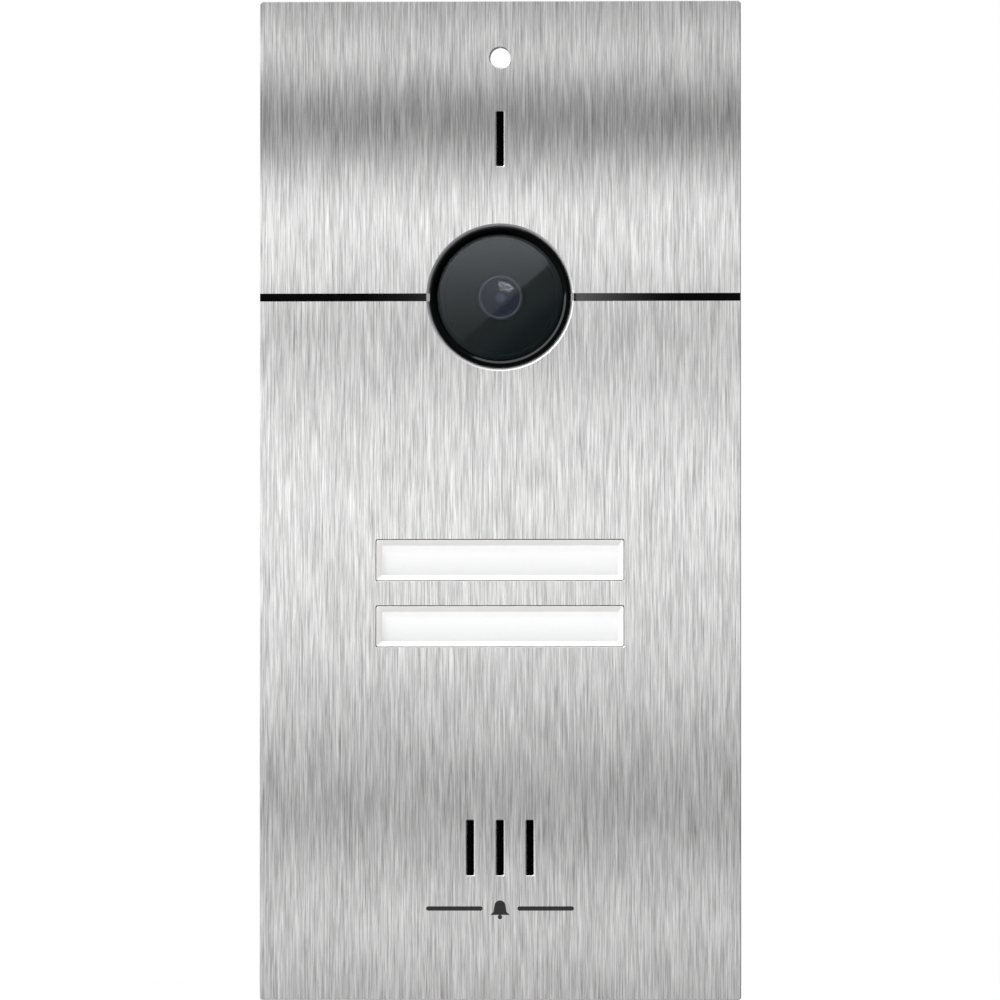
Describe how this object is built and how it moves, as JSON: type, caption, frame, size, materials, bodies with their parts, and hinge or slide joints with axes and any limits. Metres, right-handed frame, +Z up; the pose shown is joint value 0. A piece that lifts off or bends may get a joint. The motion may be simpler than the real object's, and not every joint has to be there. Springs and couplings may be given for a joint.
{
  "type": "door intercom panel",
  "caption": "Flush-mounted video door intercom panel: brushed steel front plate with a camera, microphone slot, lit name-plate call buttons and speaker slots over a sealed rear housing.",
  "frame": {"origin": "middle of the front plate's outline, on the wall plane: the rear face of the wall gasket", "axes": "+Z up the panel, +Y from the front into the wall, +X to the right as seen from the front"},
  "size_m": [0.1, 0.0355, 0.2074],
  "materials": {
    "brushed_front": "stainless steel brushed along the panel's height, satin",
    "plain_steel": "bright stamped steel, plain",
    "zinc_screws": "zinc plated steel",
    "gloss_black": "gloss black moulding and inlay",
    "satin_black": "satin black moulding",
    "housing_black": "fine-textured black moulding",
    "black_rubber": "matt black rubber",
    "smoked_glass": "smoked window, polished",
    "lens_glass": "coated optical element, violet-blue reflection",
    "label_cover": "clear label cover, polished",
    "button_frame": "off-white translucent moulding, satin",
    "name_card": "blank white name card",
    "light_diffuser": "milky white diffuser",
    "circuit_board": "green solder resist on glass-fibre board",
    "terminal_green": "green terminal moulding",
    "trimmer_blue": "blue moulding",
    "rotor_white": "ivory moulding",
    "chip_black": "black epoxy package",
    "capacitor_sleeve": "dark blue sleeve over an aluminium can",
    "cone_film": "dark film",
    "magnet_steel": "plated steel",
    "ribbon_amber": "amber flexible circuit film",
    "lamp_yellow": "clear resin over a white lamp",
    "spring_steel": "drawn spring wire"
  },
  "bodies": {
    "housing": {"front_plate": "brushed_front", "stripe_inlay_left": "gloss_black", "stripe_inlay_right": "gloss_black", "wall_gasket": "black_rubber", "front_chassis": "housing_black", "cover_seal": "black_rubber", "rear_cover": "housing_black", "housing_screw_1": "zinc_screws", "housing_screw_2": "zinc_screws", "housing_screw_3": "zinc_screws", "housing_screw_4": "zinc_screws", "lower_hook": "plain_steel", "camera_bezel": "gloss_black", "camera_window": "smoked_glass", "window_seal": "black_rubber", "camera_baffle": "satin_black", "lens_barrel": "satin_black", "front_lens": "lens_glass", "rear_lens": "lens_glass", "lens_holder": "satin_black", "image_sensor": "chip_black", "camera_board": "circuit_board", "camera_ribbon_cable": "ribbon_amber", "microphone_boot": "black_rubber", "microphone_capsule": "plain_steel", "speaker_membrane": "satin_black", "speaker_gasket": "black_rubber", "speaker_frame": "satin_black", "speaker_cone": "cone_film", "speaker_magnet": "magnet_steel", "upper_push_switch": "chip_black", "upper_name_lamp": "lamp_yellow", "upper_left_return_spring": "spring_steel", "upper_right_return_spring": "spring_steel", "lower_push_switch": "chip_black", "lower_name_lamp": "lamp_yellow", "lower_left_return_spring": "spring_steel", "lower_right_return_spring": "spring_steel", "main_board": "circuit_board", "terminal_block": "terminal_green", "terminal_screw_1": "zinc_screws", "terminal_screw_2": "zinc_screws", "terminal_screw_3": "zinc_screws", "terminal_screw_4": "zinc_screws", "speaker_trimmer_base": "trimmer_blue", "microphone_trimmer_base": "trimmer_blue", "video_processor": "chip_black", "power_capacitor": "capacitor_sleeve"},
    "upper_button": {"upper_button_frame": "button_frame", "upper_label_cover": "label_cover", "upper_name_label": "name_card", "upper_light_diffuser": "light_diffuser"},
    "upper_plunger": {"upper_switch_plunger": "rotor_white"},
    "lower_button": {"lower_button_frame": "button_frame", "lower_label_cover": "label_cover", "lower_name_label": "name_card", "lower_light_diffuser": "light_diffuser"},
    "lower_plunger": {"lower_switch_plunger": "rotor_white"},
    "speaker_rotor": {"speaker_trimmer_rotor": "rotor_white"},
    "microphone_rotor": {"microphone_trimmer_rotor": "rotor_white"}
  },
  "joints": [
    {"name": "upper_button_press", "type": "slide", "parent": "housing", "child": "upper_button", "axis": [0, 1, 0], "range_m": [0, 0.0005], "stiffness_N_per_m": 800, "springref_m": -0.001, "deforming": ["upper_left_return_spring", "upper_right_return_spring"]},
    {"name": "upper_plunger_press", "type": "slide", "parent": "housing", "child": "upper_plunger", "axis": [0, 1, 0], "range_m": [0, 0.0005]},
    {"name": "lower_button_press", "type": "slide", "parent": "housing", "child": "lower_button", "axis": [0, 1, 0], "range_m": [0, 0.0005], "stiffness_N_per_m": 800, "springref_m": -0.001, "deforming": ["lower_left_return_spring", "lower_right_return_spring"]},
    {"name": "lower_plunger_press", "type": "slide", "parent": "housing", "child": "lower_plunger", "axis": [0, 1, 0], "range_m": [0, 0.0005]},
    {"name": "speaker_trimmer_turn", "type": "hinge", "parent": "housing", "child": "speaker_rotor", "pos_m": [0.006, 0.0185, 0.012], "axis": [0, 1, 0], "range_deg": [-130, 130]},
    {"name": "microphone_trimmer_turn", "type": "hinge", "parent": "housing", "child": "microphone_rotor", "pos_m": [0.02, 0.0185, 0.012], "axis": [0, 1, 0], "range_deg": [-130, 130]}
  ],
  "couplings": [
    {"joint": "upper_plunger_press", "follows": "upper_button_press", "ratio": 1},
    {"joint": "lower_plunger_press", "follows": "lower_button_press", "ratio": 1}
  ]
}
